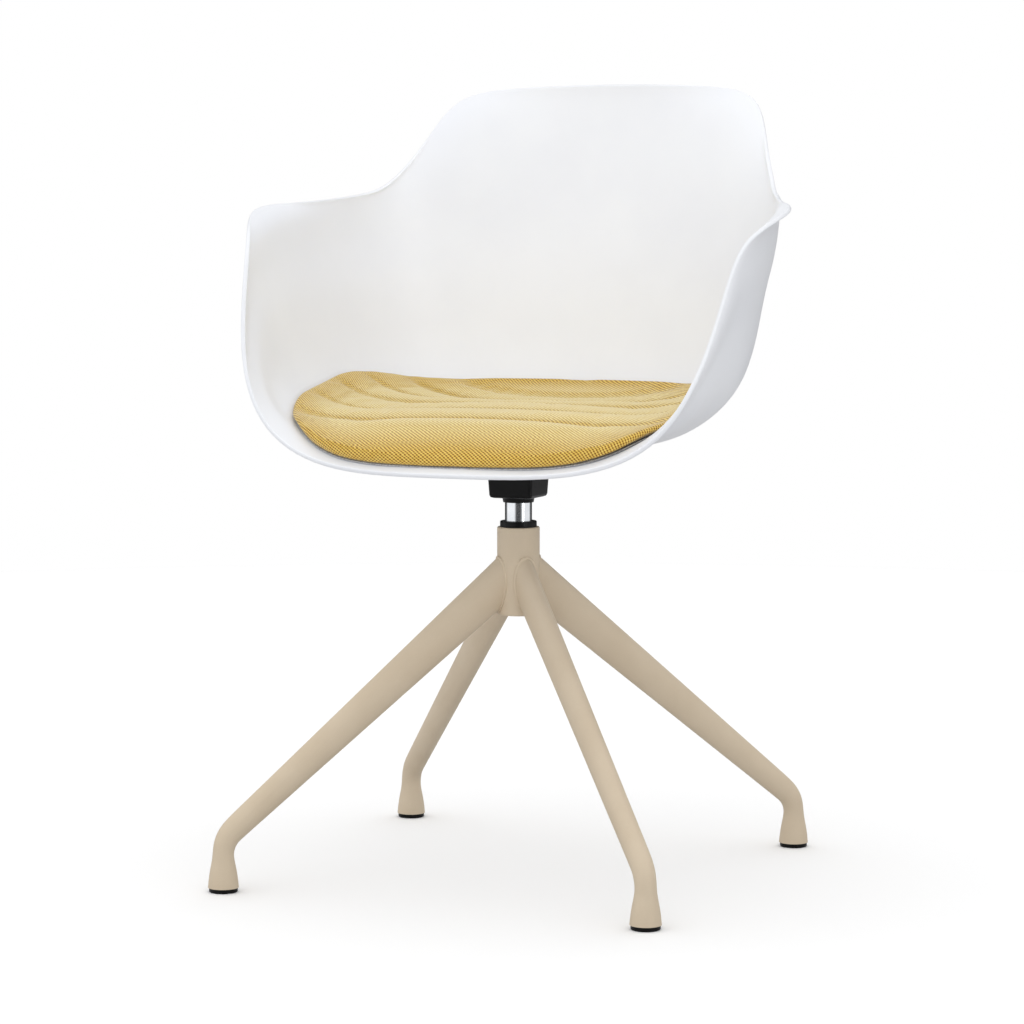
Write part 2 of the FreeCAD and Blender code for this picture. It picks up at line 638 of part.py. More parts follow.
def make_support():
    parts = {}
    plate_top = PLATE_BOTTOM + PLATE_THICKNESS
    parts["spindle_collar"] = make_collar()
    parts["swivel_housing"] = make_housing()
    parts["spindle_socket"] = ring(SOCKET_RADIUS, SPINDLE_RADIUS, SOCKET_BOTTOM, plate_top - SOCKET_BOTTOM)
    parts["mounting_plate"] = make_plate()
    bolts, washers, inserts = [], [], []
    washer_bottom = PLATE_BOTTOM - BOLT_WASHER_THICKNESS
    for x, y in bolt_places():
        bolts.append(make_bolt(x, y))
        washers.append(ring(BOLT_WASHER_RADIUS, BOLT_HOLE_RADIUS, washer_bottom, BOLT_WASHER_THICKNESS, x, y))
        inserts.append(ring(INSERT_RADIUS, BOLT_RADIUS, plate_top, INSERT_LENGTH, x, y))
    parts["plate_bolts"] = Part.makeCompound(bolts)
    parts["plate_washers"] = Part.makeCompound(washers)
    parts["shell_inserts"] = Part.makeCompound(inserts)
    return parts


def make_seat():
    parts = {}
    inner, grid = shell_grid()
    seat = SeatHeight(inner)
    cushion_low = PAD_LIFT + BACKING_THICKNESS + PAD_GAP
    tabs = [disc(TAB_RADIUS, SEAT_FLOOR_Z, TAB_THICKNESS, x, y) for x, y in corners(TAB_X, TAB_Y)]
    parts["seat_shell"] = make_shell(grid)
    parts["pad_backing"] = make_pad_layer(seat, PAD_LIFT, backing_thickness, BACKING_INSET)
    parts["pad_cushion"] = make_pad_layer(seat, cushion_low, cushion_thickness, 0.0)
    parts["pad_tabs"] = Part.makeCompound(tabs)
    return parts


os.makedirs("parts", exist_ok=True)
for group in (make_base(), make_swivel(), make_support(), make_seat()):
    for name, shape in group.items():
        shape.exportStep("parts/" + name + ".step")
        print(f"{name}: {len(shape.Solids)} solid, valid {shape.isValid()}, {shape.Volume / 1000:.1f} cm3")
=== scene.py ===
import json
import math

import bmesh
import bpy
import numpy
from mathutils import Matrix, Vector
from mathutils.bvhtree import BVHTree


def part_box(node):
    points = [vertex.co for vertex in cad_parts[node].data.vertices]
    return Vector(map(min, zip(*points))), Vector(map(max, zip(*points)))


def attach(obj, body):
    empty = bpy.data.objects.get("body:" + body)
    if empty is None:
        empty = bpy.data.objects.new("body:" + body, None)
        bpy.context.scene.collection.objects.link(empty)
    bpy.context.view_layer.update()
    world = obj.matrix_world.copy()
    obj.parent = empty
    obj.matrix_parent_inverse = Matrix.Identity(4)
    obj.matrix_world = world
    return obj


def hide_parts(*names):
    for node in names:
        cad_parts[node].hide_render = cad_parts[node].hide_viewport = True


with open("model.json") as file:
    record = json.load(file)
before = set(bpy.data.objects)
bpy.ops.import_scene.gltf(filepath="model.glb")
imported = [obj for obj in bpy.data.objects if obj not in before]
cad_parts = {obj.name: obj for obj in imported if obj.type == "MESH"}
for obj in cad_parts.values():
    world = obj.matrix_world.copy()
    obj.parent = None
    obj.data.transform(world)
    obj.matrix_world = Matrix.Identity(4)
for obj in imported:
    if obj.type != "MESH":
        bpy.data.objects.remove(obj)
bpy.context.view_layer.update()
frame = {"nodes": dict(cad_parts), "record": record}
print("frame loaded:", len(frame["nodes"]), "nodes")


# Node sums: one socket of a node tree, with the operators that the finishes use
class Sig:
    def __init__(self, tree, socket=None):
        self.tree = tree
        self.socket = socket

    def node(self, kind, settings=None, sockets=None, output=0):
        made = self.tree.nodes.new(kind if "Node" in kind else "ShaderNode" + kind)
        for name, value in (settings or {}).items():
            setattr(made, name, value)
        for name, value in (sockets or {}).items():
            if isinstance(value, Sig):
                self.tree.links.new(value.socket, made.inputs[name])
            else:
                made.inputs[name].default_value = value
        return Sig(self.tree, made.outputs[output])

    def other(self, output):
        return Sig(self.tree, self.socket.node.outputs[output])

    def sum(self, operation, first, second=0.0):
        return self.node("Math", {"operation": operation}, {0: first, 1: second})

    def __add__(self, other):
        return self.sum("ADD", self, other)

    def __radd__(self, other):
        return self.sum("ADD", other, self)

    def __sub__(self, other):
        return self.sum("SUBTRACT", self, other)

    def __rsub__(self, other):
        return self.sum("SUBTRACT", other, self)

    def __mul__(self, other):
        return self.sum("MULTIPLY", self, other)

    def __rmul__(self, other):
        return self.sum("MULTIPLY", other, self)

    def __truediv__(self, other):
        return self.sum("DIVIDE", self, other)

    def __rtruediv__(self, other):
        return self.sum("DIVIDE", other, self)

    def size(self):
        return self.sum("ABSOLUTE", self)

    def wave(self):
        return self.sum("COSINE", self)

    def blend(self, other, share):
        return self * share + other * (1 - share)

    def rise(self, low, high):
        return self.node("MapRange", {"interpolation_type": "SMOOTHSTEP"},
                         {"Value": self, "From Min": low, "From Max": high})

    def spread(self):
        # noise lies mostly between these two levels
        return self.rise(0.3, 0.7)

    def axis(self, index):
        return self.node("SeparateXYZ", {}, {0: self}, index)

    def dot(self, other):
        return self.node("VectorMath", {"operation": "DOT_PRODUCT"}, {0: self, 1: other}, "Value")

    def stretched(self, factors):
        return self.node("VectorMath", {"operation": "MULTIPLY"}, {0: self, 1: factors})

    def mix(self, low, high):
        return self.node("Mix", {"data_type": "RGBA"}, {0: self, 6: low, 7: high}, 2)


def tint(red, green, blue):
    # screen colour from 0 to 255, as the shader's linear colour
    return tuple(((c / 255 + 0.055) / 1.055) ** 2.4 for c in (red, green, blue)) + (1.0,)


class Finish:
    # one material: its start, its coordinates and what it ends in
    def __init__(self, name, **fixed):
        self.material = bpy.data.materials.new(name)
        self.material.use_nodes = True
        self.tree = self.material.node_tree
        self.shader = self.tree.nodes["Principled BSDF"]
        for socketName, value in fixed.items():
            self.shader.inputs[socketName.replace("_", " ")].default_value = value
        self.start = Sig(self.tree)

    def place(self):
        return self.start.node("TexCoord", output="Object")

    def attribute(self, name):
        return self.start.node("Attribute", {"attribute_name": name}, output="Vector")

    def noise(self, place, size, detail=2.0):
        # size is how wide one patch of the noise is, in metres
        return self.start.node("TexNoise", {}, {"Vector": place, "Scale": 1 / size, "Detail": detail})

    def cells(self, place, size, output):
        return self.start.node("TexVoronoi", {}, {"Vector": place, "Scale": 1 / size}, output)

    def link(self, socketName, signal):
        self.tree.links.new(signal.socket, self.shader.inputs[socketName])

    def relief(self, height, depth):
        self.link("Normal", self.start.node("Bump", {}, {"Height": height, "Distance": depth}))


# Finishes

beigeCoat = {
    "pale": tint(211, 195, 171), "deep": tint(204, 187, 162), "peel": 0.0011, "peelDepth": 0.00006,
    "mottle": 0.05, "mottleShare": 0.6, "specksPerPeel": 3, "speckSpread": (0.35, 0.65),
    "rough": 0.46, "roughPeel": 0.1, "roughMottle": 0.06,
}


def makeBeigeCoat(look):
    finish = Finish("beigePowderCoat", Specular_IOR_Level=0.42)
    place = finish.place()
    peel = finish.noise(place, look["peel"], detail=3.0)
    mottle = finish.noise(place, look["mottle"], detail=4.0)
    speck = finish.noise(place, look["peel"] / look["specksPerPeel"], detail=1.0)
    tone = mottle.spread().blend(speck.rise(*look["speckSpread"]), look["mottleShare"])
    finish.link("Base Color", tone.mix(look["deep"], look["pale"]))
    finish.link("Roughness", look["rough"] + peel * look["roughPeel"] + mottle * look["roughMottle"])
    finish.relief(peel, look["peelDepth"])
    return finish.material


mouldedBlack = {
    "dark": tint(7, 7, 8), "light": tint(15, 15, 16), "grain": 0.0007, "grainDepth": 0.00004,
    "cloud": 0.02, "cloudShare": 0.7, "rough": 0.2, "roughGrain": 0.12, "roughCloud": 0.1,
}


def makeMouldedBlack(look):
    finish = Finish("mouldedBlackPlastic", Specular_IOR_Level=0.16)
    place = finish.place()
    grain = finish.noise(place, look["grain"])
    cloud = finish.noise(place, look["cloud"], detail=3.0)
    tone = cloud.blend(grain, look["cloudShare"]).spread()
    finish.link("Base Color", tone.mix(look["dark"], look["light"]))
    finish.link("Roughness", look["rough"] + grain * look["roughGrain"] + cloud * look["roughCloud"])
    finish.relief(grain, look["grainDepth"])
    return finish.material


zincSteel = {
    "pale": tint(186, 188, 192), "deep": tint(150, 153, 160), "spangle": 0.004, "spangleShare": 0.6,
    "scuff": 0.0012, "scuffDepth": 0.00002, "rough": 0.3, "roughScuff": 0.2, "roughSpangle": 0.06,
}


def makeZincSteel(look):
    finish = Finish("zincPlatedSteel", Metallic=1.0)
    place = finish.place()
    spangle = finish.cells(place, look["spangle"], "Color").axis(0)
    scuff = finish.noise(place, look["scuff"], detail=4.0)
    tone = spangle.blend(scuff, look["spangleShare"])
    finish.link("Base Color", tone.mix(look["deep"], look["pale"]))
    finish.link("Roughness", look["rough"] + scuff * look["roughScuff"] - spangle * look["roughSpangle"])
    finish.relief(scuff, look["scuffDepth"])
    return finish.material


columnChrome = {
    "bright": tint(226, 228, 231), "dull": tint(214, 217, 221), "film": 0.012,
    "ring": 0.0004, "ringStretch": (0.02, 0.02, 1.0), "ringDepth": 0.000004,
    "rough": 0.05, "roughRings": 0.05, "roughFilm": 0.04,
}


def makeColumnChrome(look):
    finish = Finish("groundChrome", Metallic=1.0)
    place = finish.place()
    # fine rings left by grinding the column round its axis
    rings = finish.noise(place.stretched(look["ringStretch"]), look["ring"])
    film = finish.noise(place, look["film"], detail=3.0)
    finish.link("Base Color", film.spread().mix(look["dull"], look["bright"]))
    finish.link("Roughness", look["rough"] + rings * look["roughRings"] + film * look["roughFilm"])
    finish.relief(rings, look["ringDepth"])
    return finish.material


blackSteel = {
    "dark": tint(28, 28, 29), "light": tint(44, 44, 46), "peel": 0.0014, "peelDepth": 0.00008,
    "peelSpread": (0.3, 0.75), "rough": 0.45, "roughPeel": 0.15,
}


def makeBlackSteel(look):
    finish = Finish("blackPowderCoat", Specular_IOR_Level=0.45)
    peel = finish.noise(finish.place(), look["peel"], detail=3.0)
    finish.link("Base Color", peel.rise(*look["peelSpread"]).mix(look["dark"], look["light"]))
    finish.link("Roughness", look["rough"] + peel * look["roughPeel"])
    finish.relief(peel, look["peelDepth"])
    return finish.material


insertBrass = {
    "bright": tint(222, 186, 116), "dull": tint(184, 146, 84), "tarnish": 0.003,
    "ring": 0.0006, "ringStretch": (0.1, 0.1, 1.0), "ringDepth": 0.00003,
    "rough": 0.28, "roughTarnish": 0.15, "roughRings": 0.08,
}


def makeInsertBrass(look):
    finish = Finish("turnedBrass", Metallic=1.0)
    place = finish.place()
    tarnish = finish.noise(place, look["tarnish"], detail=4.0)
    rings = finish.noise(place.stretched(look["ringStretch"]), look["ring"])
    finish.link("Base Color", tarnish.spread().mix(look["dull"], look["bright"]))
    finish.link("Roughness", look["rough"] + tarnish * look["roughTarnish"] + rings * look["roughRings"])
    finish.relief(rings, look["ringDepth"])
    return finish.material


shellWhite = {
    "white": tint(239, 241, 245), "shade": tint(234, 236, 241), "grain": 0.0006, "grainDepth": 0.000018,
    "flow": 0.12, "flowShare": 0.75, "rough": 0.36, "roughGrain": 0.08, "roughFlow": 0.06,
}


def makeShellWhite(look):
    finish = Finish("satinWhiteShell", Specular_IOR_Level=0.4)
    place = finish.place()
    grain = finish.noise(place, look["grain"])
    flow = finish.noise(place, look["flow"], detail=3.0)
    tone = flow.blend(grain, look["flowShare"]).spread()
    finish.link("Base Color", tone.mix(look["shade"], look["white"]))
    finish.link("Roughness", look["rough"] + grain * look["roughGrain"] + flow * look["roughFlow"])
    finish.relief(grain, look["grainDepth"])
    return finish.material


padCloth = {
    "wide": 0.0045, "tall": 0.0035, "warpShare": 0.62, "wander": 0.03, "wanderBy": 0.7,
    "fibre": 0.0005, "slub": 0.007, "slubShare": 0.6, "depth": 0.0005, "fibreDepth": 0.3,
    "heightShare": 0.85, "fibreShare": 0.2, "yarnFrom": (0.18, 0.75), "rough": 0.85, "roughFibre": 0.1,
    # the gap colours are painted shade in the hollows between the yarns
    "yarn": tint(226, 190, 88), "yarnPale": tint(240, 210, 112), "gap": tint(136, 84, 26),
    # the sheen colours are painted sheen: they make the cover paler where it faces up, where light lies on
    # the upturned faces
    "sheenYarn": tint(241, 224, 152), "sheenYarnPale": tint(247, 236, 180), "sheenGapShade": tint(190, 148, 68),
    "sheen": tint(250, 248, 240),
}


def makePadCloth(look):
    finish = Finish("yellowBasketWeave", Specular_IOR_Level=0.2, Sheen_Weight=0.6, Sheen_Roughness=0.4,
                    Sheen_Tint=look["sheen"])
    place = finish.attribute("clothPlace")
    # painted sheen: the third value of clothPlace paints the cover paler where it faces up, standing in for
    # light on its upturned faces
    paintedSheen = place.axis(2)  # the cover is paler where it faces up
    # warp and weft cross on the slant, and the warp stands higher
    across = place.axis(0) / look["wide"] + finish.noise(place, look["wander"]) * look["wanderBy"]
    along = place.axis(1) / look["tall"]
    warp = ((across + along) * (2 * math.pi)).wave()
    weft = ((across - along) * (2 * math.pi)).wave()
    height = 0.5 + warp.blend(weft, look["warpShare"]) * 0.5
    fibre = finish.noise(place, look["fibre"], detail=3.0)
    slub = finish.noise(place, look["slub"], detail=3.0)
    yarn = slub.blend(fibre, look["slubShare"]).spread().mix(
        paintedSheen.mix(look["yarn"], look["sheenYarn"]), paintedSheen.mix(look["yarnPale"], look["sheenYarnPale"]))
    # painted shade: where the yarns dip, the cover takes the dark gap colour as shade in the weave's hollows
    gap = paintedSheen.mix(look["gap"], look["sheenGapShade"])
    raised = (height * look["heightShare"] + fibre * look["fibreShare"]).rise(*look["yarnFrom"])
    finish.link("Base Color", raised.mix(gap, yarn))
    finish.link("Roughness", look["rough"] + fibre * look["roughFibre"])
    finish.relief(height + fibre * look["fibreDepth"], look["depth"])
    return finish.material


greyUnderside = {
    "pale": tint(206, 206, 208), "deep": tint(146, 146, 149), "knit": 0.0016, "knitShare": 0.9,
    "knitDepth": 0.0003, "fibre": 0.0008, "fibreShare": 0.3, "paleFrom": (0.3, 1.0),
    "rough": 0.85, "roughFibre": 0.12,
}


def makeGreyUnderside(look):
    finish = Finish("greyNonSlipCloth", Specular_IOR_Level=0.25, Sheen_Weight=0.2)
    place = finish.place()
    knit = finish.cells(place, look["knit"], "Distance")
    fibre = finish.noise(place, look["fibre"], detail=3.0)
    tone = (1 - knit * look["knitShare"] + fibre * look["fibreShare"]).rise(*look["paleFrom"])
    finish.link("Base Color", tone.mix(look["deep"], look["pale"]))
    finish.link("Roughness", look["rough"] + fibre * look["roughFibre"])
    finish.relief(1 - knit, look["knitDepth"])
    return finish.material


finishes = {
    "base_paint": makeBeigeCoat(beigeCoat),
    "black_plastic": makeMouldedBlack(mouldedBlack),
    "plain_steel": makeZincSteel(zincSteel),
    "column_chrome": makeColumnChrome(columnChrome),
    "black_steel": makeBlackSteel(blackSteel),
    "insert_brass": makeInsertBrass(insertBrass),
    "shell_white": makeShellWhite(shellWhite),
    "pad_underside": makeGreyUnderside(greyUnderside),
    "pad_cloth": makePadCloth(padCloth),
}
for subpart in frame["record"]["subparts"]:
    solid = frame["nodes"][subpart["node"]]
    solid.data.materials.clear()
    solid.data.materials.append(finishes[subpart["material_slot"]])
print("finishes:", len(finishes))


# Stage: the camera, daylight from all round and a white floor

view = {
    "azimuth": 22.8815, "elevation": 5.1383, "distance": 3.40644, "aside": -0.006648, "height": 0.372494,
    "lens": 116.0, "sensor": 36.0, "farthest": 200.0,
}


def facing(azimuth, elevation):
    # unit vector from the chair towards a camera or lamp at that angle
    turn, lift = math.radians(azimuth), math.radians(elevation)
    return Vector((math.sin(turn) * math.cos(lift), -math.cos(turn) * math.cos(lift), math.sin(lift)))


def makeCamera(look):
    data = bpy.data.cameras.new("camera")
    data.lens = look["lens"]
    data.sensor_width = look["sensor"]
    data.clip_end = look["farthest"]
    camera = bpy.data.objects.new("camera", data)
    bpy.context.scene.collection.objects.link(camera)
    towards = facing(look["azimuth"], look["elevation"])
    turn = math.radians(look["azimuth"])
    target = Vector((math.cos(turn), math.sin(turn), 0)) * look["aside"] + Vector((0, 0, look["height"]))
    camera.location = target + towards * look["distance"]
    camera.rotation_euler = towards.to_track_quat("Z", "Y").to_euler()
    bpy.context.scene.camera = camera


daylight = {
    "left": 0.27, "right": 0.03, "overhead": 0.63, "front": 1.1, "behind": 0.42, "all": 0.73, "backdrop": 1.0,
    # where each wall of light fades in, by the cosine of the angle to its middle
    "rightFrom": (-0.5, 0.5), "overheadFrom": (0.7, 0.92), "frontFrom": (0.80, 0.97),
    "behindUpTo": (-0.6, -0.2),
    "mirrored": {"left": 1.15, "right": 1.0, "overhead": 1.0, "front": 0.0, "behind": 0.0, "all": 0.06},
    "strip": {"azimuth": 66.0, "narrow": (0.02, 0.06), "ahead": (0.2, 0.4), "level": 9.0},
}


def makeDaylight(look):
    # light from all round, with more from behind the camera; polished faces mirror light walls to the
    # left and right and a darker room before and behind them, and the camera itself sees plain white
    world = bpy.data.worlds.new("studio")
    world.use_nodes = True
    bpy.context.scene.world = world
    tree = world.node_tree
    direction = Sig(tree).node("TexCoord", output="Generated")
    front = direction.dot(facing(view["azimuth"], 0.0))
    right = direction.dot(facing(view["azimuth"] + 90.0, 0.0)).rise(*look["rightFrom"])
    ceiling = direction.axis(2).rise(*look["overheadFrom"])
    near, far = front.rise(*look["frontFrom"]), 1 - front.rise(*look["behindUpTo"])

    def tone(levels):
        sides = (1 - near) * (1 - far) * (levels["left"] + right * (levels["right"] - levels["left"]))
        low = sides + near * levels["front"] + far * levels["behind"]
        return levels["all"] + low * (1 - ceiling) + ceiling * levels["overhead"]

    seen = direction.node("LightPath", output="Is Camera Ray")
    mirrored = seen.other("Is Glossy Ray")
    # a narrow upright lamp that shows as bright lines on polished edges
    lamp = look["strip"]
    beside = direction.dot(facing(lamp["azimuth"] + 90.0, 0.0)).size()
    ahead = direction.dot(facing(lamp["azimuth"], 0.0))
    strip = (1 - beside.rise(*lamp["narrow"])) * ahead.rise(*lamp["ahead"])
    light = (1 - mirrored) * tone(look) + mirrored * (tone(look["mirrored"]) + strip * lamp["level"])
    strength = seen * look["backdrop"] + (1 - seen) * light
    tree.links.new(strength.socket, tree.nodes["Background"].inputs["Strength"])
    tree.nodes["Background"].inputs["Color"].default_value = (1, 1, 1, 1)


floorLook = {"radius": 3.0, "sides": 96, "seen": (0.95, 0.95, 0.95, 1), "bounce": tint(198, 198, 199)}


def makeFloor(look):
    mesh = bpy.data.meshes.new("floor")
    disc = bmesh.new()
    bmesh.ops.create_circle(disc, cap_ends=True, segments=look["sides"], radius=look["radius"])
    disc.to_mesh(mesh)
    disc.free()
    floor = bpy.data.objects.new("floor", mesh)
    bpy.context.scene.collection.objects.link(floor)
    finish = Finish("paleFloor", Roughness=0.9, Specular_IOR_Level=0.1)
    # the camera sees the floor as white as the backdrop, and the chair gets less light back from it
    seen = finish.start.node("LightPath", output="Is Camera Ray")
    finish.link("Base Color", seen.mix(look["bounce"], look["seen"]))
    # from below the floor is clear, so that the underside can be looked at
    below = finish.start.node("NewGeometry", output="Backfacing")
    clear = finish.start.node("BsdfTransparent", output="BSDF")
    plain = Sig(finish.tree, finish.shader.outputs["BSDF"])
    both = finish.start.node("MixShader", {}, {0: below, 1: plain, 2: clear})
    finish.tree.links.new(both.socket, finish.tree.nodes["Material Output"].inputs["Surface"])
    mesh.materials.append(finish.material)


makeCamera(view)
makeDaylight(daylight)
makeFloor(floorLook)
bpy.context.scene.view_settings.view_transform = "Standard"
print("stage set")


# Meshes and rays for the pad's pieces

def solidTree(node):
    # the solid's faces, for rays that find its upper and lower side
    mesh = frame["nodes"][node].data
    return BVHTree.FromPolygons([v.co for v in mesh.vertices], [p.vertices for p in mesh.polygons])


shellTree = solidTree("seat_shell")
overSeat, underSeat = 0.8, 0.3  # heights that the rays start from
down, up = Vector((0, 0, -1)), Vector((0, 0, 1))


def seatHeight(x, y):
    return shellTree.ray_cast(Vector((x, y, overSeat)), down)[0].z


def newPiece(name, mesh, finish):
    mesh.materials.clear()
    mesh.materials.append(finish)
    mesh.shade_smooth()
    piece = bpy.data.objects.new(name, mesh)
    bpy.context.scene.collection.objects.link(piece)
    return piece


def settled(piece):
    # the piece's mesh as its modifiers leave it
    evaluated = piece.evaluated_get(bpy.context.evaluated_depsgraph_get())
    return bpy.data.meshes.new_from_object(evaluated)


def vectors(mesh, field="co"):
    flat = numpy.empty(len(mesh.vertices) * 3)
    mesh.vertices.foreach_get(field, flat)
    return flat.reshape(-1, 3)


def moveTo(mesh, points):
    mesh.vertices.foreach_set("co", points.ravel())
    mesh.update()


def smoothStep(low, high, value):
    t = numpy.clip((value - low) / (high - low), 0.0, 1.0)
    return t * t * (3 - 2 * t)


# The layers of the pad, its cover and its underside, share this outline
padOutline = {
    "frontPower": 3.3, "backPower": 2.15, "seams": (-0.098, -0.042, 0.014, 0.062, 0.104, 0.138),
    "frontRows": 20, "backRows": 10, "rowPower": 2.2, "crowded": 0.25,
    "insetFrom": (0.8, 1.0), "edgeFrom": (0.85, 1.0), "edgeRings": 2,
}


def outlineShare(look, x, y):
    # 0 in the middle of the pad and 1 on its outline
    middle = (look["front"] + look["back"]) / 2
    depth = abs(y - middle) / ((look["back"] - look["front"]) / 2)
    power = numpy.where(y < middle, look["frontPower"], look["backPower"])
    return (abs(x / look["halfWidth"]) ** power + depth ** power) ** (1 / power)


def padReach(look, y):
    # half the pad's width at that place along it
    middle = (look["front"] + look["back"]) / 2
    power = look["frontPower"] if y < middle else look["backPower"]
    depth = abs(y - middle) / ((look["back"] - look["front"]) / 2)
    return look["halfWidth"] * (1 - depth ** power) ** (1 / power)


def padRows(look):
    # rows of points across the pad: one on every seam, closer together towards the front and back ends
    seams, power = look["seams"], look["rowPower"]
    first, last = seams[0] - look["front"], look["back"] - seams[-1]
    starts = range(1, look["frontRows"])
    rows = [look["front"] + first * (k / look["frontRows"]) ** power for k in starts]
    for near, far in zip(seams, seams[1:]):
        count = round((far - near) / look["rowStep"])
        rows += [near + (far - near) * k / count for k in range(count)]
    ends = range(look["backRows"], 0, -1)
    return rows + [look["back"] - last * (k / look["backRows"]) ** power for k in ends]


def padGrid(look):
    # plan places of the layer, row by row, closer together towards the sides
    crowded = look["crowded"]
    ends = [2 * k / look["columns"] - 1 for k in range(look["columns"] + 1)]
    grid = []
    for y in padRows(look):
        reach = padReach(look, y)
        grid.append([(reach * t * (1 + crowded - crowded * t * t), y) for t in ends])
    return grid


def heights(look, tree, grid, above):
    # where a ray from above or below meets the solid a little inside the outline, carried out along the seat
    middle = (look["front"] + look["back"]) / 2
    start, way = (overSeat, down) if above else (underSeat, up)
    found = []
    for row in grid:
        for x, y in row:
            edge = smoothStep(*look["insetFrom"], outlineShare(look, x, y))
            inward = 1 - (1 - look["sampleInside"]) * edge
            inside = Vector((x * inward, middle + (y - middle) * inward, start))
            found.append(tree.ray_cast(inside, way)[0].z + seatHeight(x, y) - seatHeight(inside.x, inside.y))
    return found


def outerLoop(rows, columns):
    # the grid's outer points, from the front end round by the right side
    loop = list(range(columns))
    loop += [i * columns + columns - 1 for i in range(1, rows)]
    loop += [(rows - 1) * columns + j for j in range(columns - 2, -1, -1)]
    return loop + [i * columns for i in range(rows - 2, 0, -1)]


def outwards(points, loop, k):
    along = Vector(points[loop[(k + 1) % len(loop)]]) - Vector(points[loop[k - 1]])
    return Vector((along.y, -along.x, 0)).normalized()


def layerMesh(name, node, look):
    # an upper and a lower side over the solid's own, joined by a rounded edge
    tree = solidTree(node)
    grid = padGrid(look)
    rows, columns = len(grid), len(grid[0])
    plan = [place for row in grid for place in row]
    nearEdge = [smoothStep(*look["edgeFrom"], outlineShare(look, x, y)) for x, y in plan]
    upper = [(x, y, z - look["drawnIn"] - look["edgeDrop"] * edge)
             for (x, y), z, edge in zip(plan, heights(look, tree, grid, True), nearEdge)]
    lower = [(x, y, z - look["sunk"] * edge)
             for (x, y), z, edge in zip(plan, heights(look, tree, grid, False), nearEdge)]
    count = rows * columns
    points, faces = upper + lower, []
    for i in range(rows - 1):
        for j in range(columns - 1):
            a = i * columns + j
            quad = (a, a + 1, a + columns + 1, a + columns)
            faces.append(quad)
            faces.append(tuple(count + k for k in reversed(quad)))
    loop = outerLoop(rows, columns)
    rings = [loop]
    for ring in range(look["edgeRings"]):
        share = (ring + 1) / (look["edgeRings"] + 1)
        bulge = look["edgeBulge"] * math.sin(math.pi * share)
        rings.append(list(range(len(points), len(points) + len(loop))))
        for k, index in enumerate(loop):
            place = Vector(upper[index]).lerp(Vector(lower[index]), share)
            points.append(place + outwards(upper, loop, k) * bulge)
    rings.append([count + index for index in loop])
    for high, low in zip(rings, rings[1:]):
        for k in range(len(loop)):
            nextOne = (k + 1) % len(loop)
            faces.append((high[k], low[k], low[nextOne], high[nextOne]))
    mesh = bpy.data.meshes.new(name)
    mesh.from_pydata(points, [], faces)
    mesh.update()
    return mesh, (rows, columns), rings


# Seat pad: a woven cover, swelled between its seams

seatPad = {
    **padOutline, "halfWidth": 0.219, "front": -0.1705, "back": 0.173, "rowStep": 0.0042, "columns": 96,
    "sampleInside": 0.955, "edgeBulge": 0.002, "drawnIn": 0.0015, "edgeDrop": 0.0, "sunk": 0.0022,
    "evenPasses": 60, "evenFrom": (0.55, 0.95), "even": 0.85,
    "rearDrop": 0.0055, "rearFrom": (0.03, 0.13), "leastThick": 0.003,
    "pressure": 8.0, "spare": 0.003, "frames": 20, "mostMove": 0.006, "heldFrom": 0.2, "restsWithin": 0.97,
    "calm": 0.8, "calmRim": (0.7, 1.0), "calmRear": (0.04, 0.12),
    "onSeam": 1e-5, "nearSeam": 1e-3, "seamEnds": (0.9, 1.0), "stitchedWithin": 0.95,
    "crease": 0.0028, "pucker": 0.25, "puckerPitch": 0.017, "puckerShift": 90,
    # painted sheen: the cover is painted paler as its normal turns up, with less of it towards the rim
    "paintedSheen": (0.70, 0.985), "rimSheenCut": 0.75, "rimFrom": (0.84, 1.0),
}


def evenRim(look, points, share, shape, rings):
    # the seams' hollows run out towards the rim, and the rear lies lower on the seat
    count = shape[0] * shape[1]
    grid = points[:count, 2].reshape(shape)
    even = grid.copy()
    for step in range(look["evenPasses"]):
        even[1:-1] = (even[:-2] + 2 * even[1:-1] + even[2:]) / 4
    blend = look["even"] * smoothStep(*look["evenFrom"], share[:count].reshape(shape))
    wanted = (grid + (even - grid) * blend).ravel()
    wanted -= look["rearDrop"] * smoothStep(*look["rearFrom"], points[:count, 1])
    points[:count, 2] = numpy.maximum(wanted, points[count:2 * count, 2] + look["leastThick"])
    for place, ring in enumerate(rings[1:-1]):
        part = (place + 1) / (len(rings) - 1)
        points[ring, 2] = points[rings[0], 2] * (1 - part) + points[rings[-1], 2] * part


def seamDepths(look, points, share, count):
    # 1 along the seams of the upper side, less towards their ends and 0 elsewhere
    depths = numpy.zeros(len(points))
    upper = numpy.arange(len(points)) < count
    for seam in look["seams"]:
        onSeam = upper & (abs(points[:, 1] - seam) < look["onSeam"])
        depths[onSeam] = 1 - smoothStep(*look["seamEnds"], share[onSeam])
    return depths


def swell(piece, look, held, most):
    # air pressure fills the cover between the sewn lines, no further than the most at each point
    start = vectors(piece.data)
    group = piece.vertex_groups.new(name="sewn")
    group.add([int(i) for i in numpy.flatnonzero(held)], 1.0, "REPLACE")
    cloth = piece.modifiers.new("swell", "CLOTH")
    cloth.settings.use_pressure = True
    cloth.settings.uniform_pressure_force = look["pressure"]
    cloth.settings.vertex_group_mass = "sewn"
    cloth.settings.shrink_min = -look["spare"]
    cloth.settings.effector_weights.gravity = 0.0
    cloth.point_cache.frame_start = 1
    cloth.point_cache.frame_end = look["frames"]
    scene = bpy.context.scene
    for step in range(1, look["frames"] + 1):
        scene.frame_set(step)
    moved = vectors(settled(piece)) - start
    piece.modifiers.remove(cloth)
    piece.vertex_groups.remove(group)
    scene.frame_set(1)
    length = numpy.linalg.norm(moved, axis=1)
    share = numpy.minimum(1.0, most / numpy.maximum(length, 1e-9))
    moveTo(piece.data, start + moved * share[:, None])
    mean, longest = length.mean() * 1000, length.max() * 1000
    print("pad swelled by", round(float(mean), 1), "mm, up to", round(float(longest), 1))


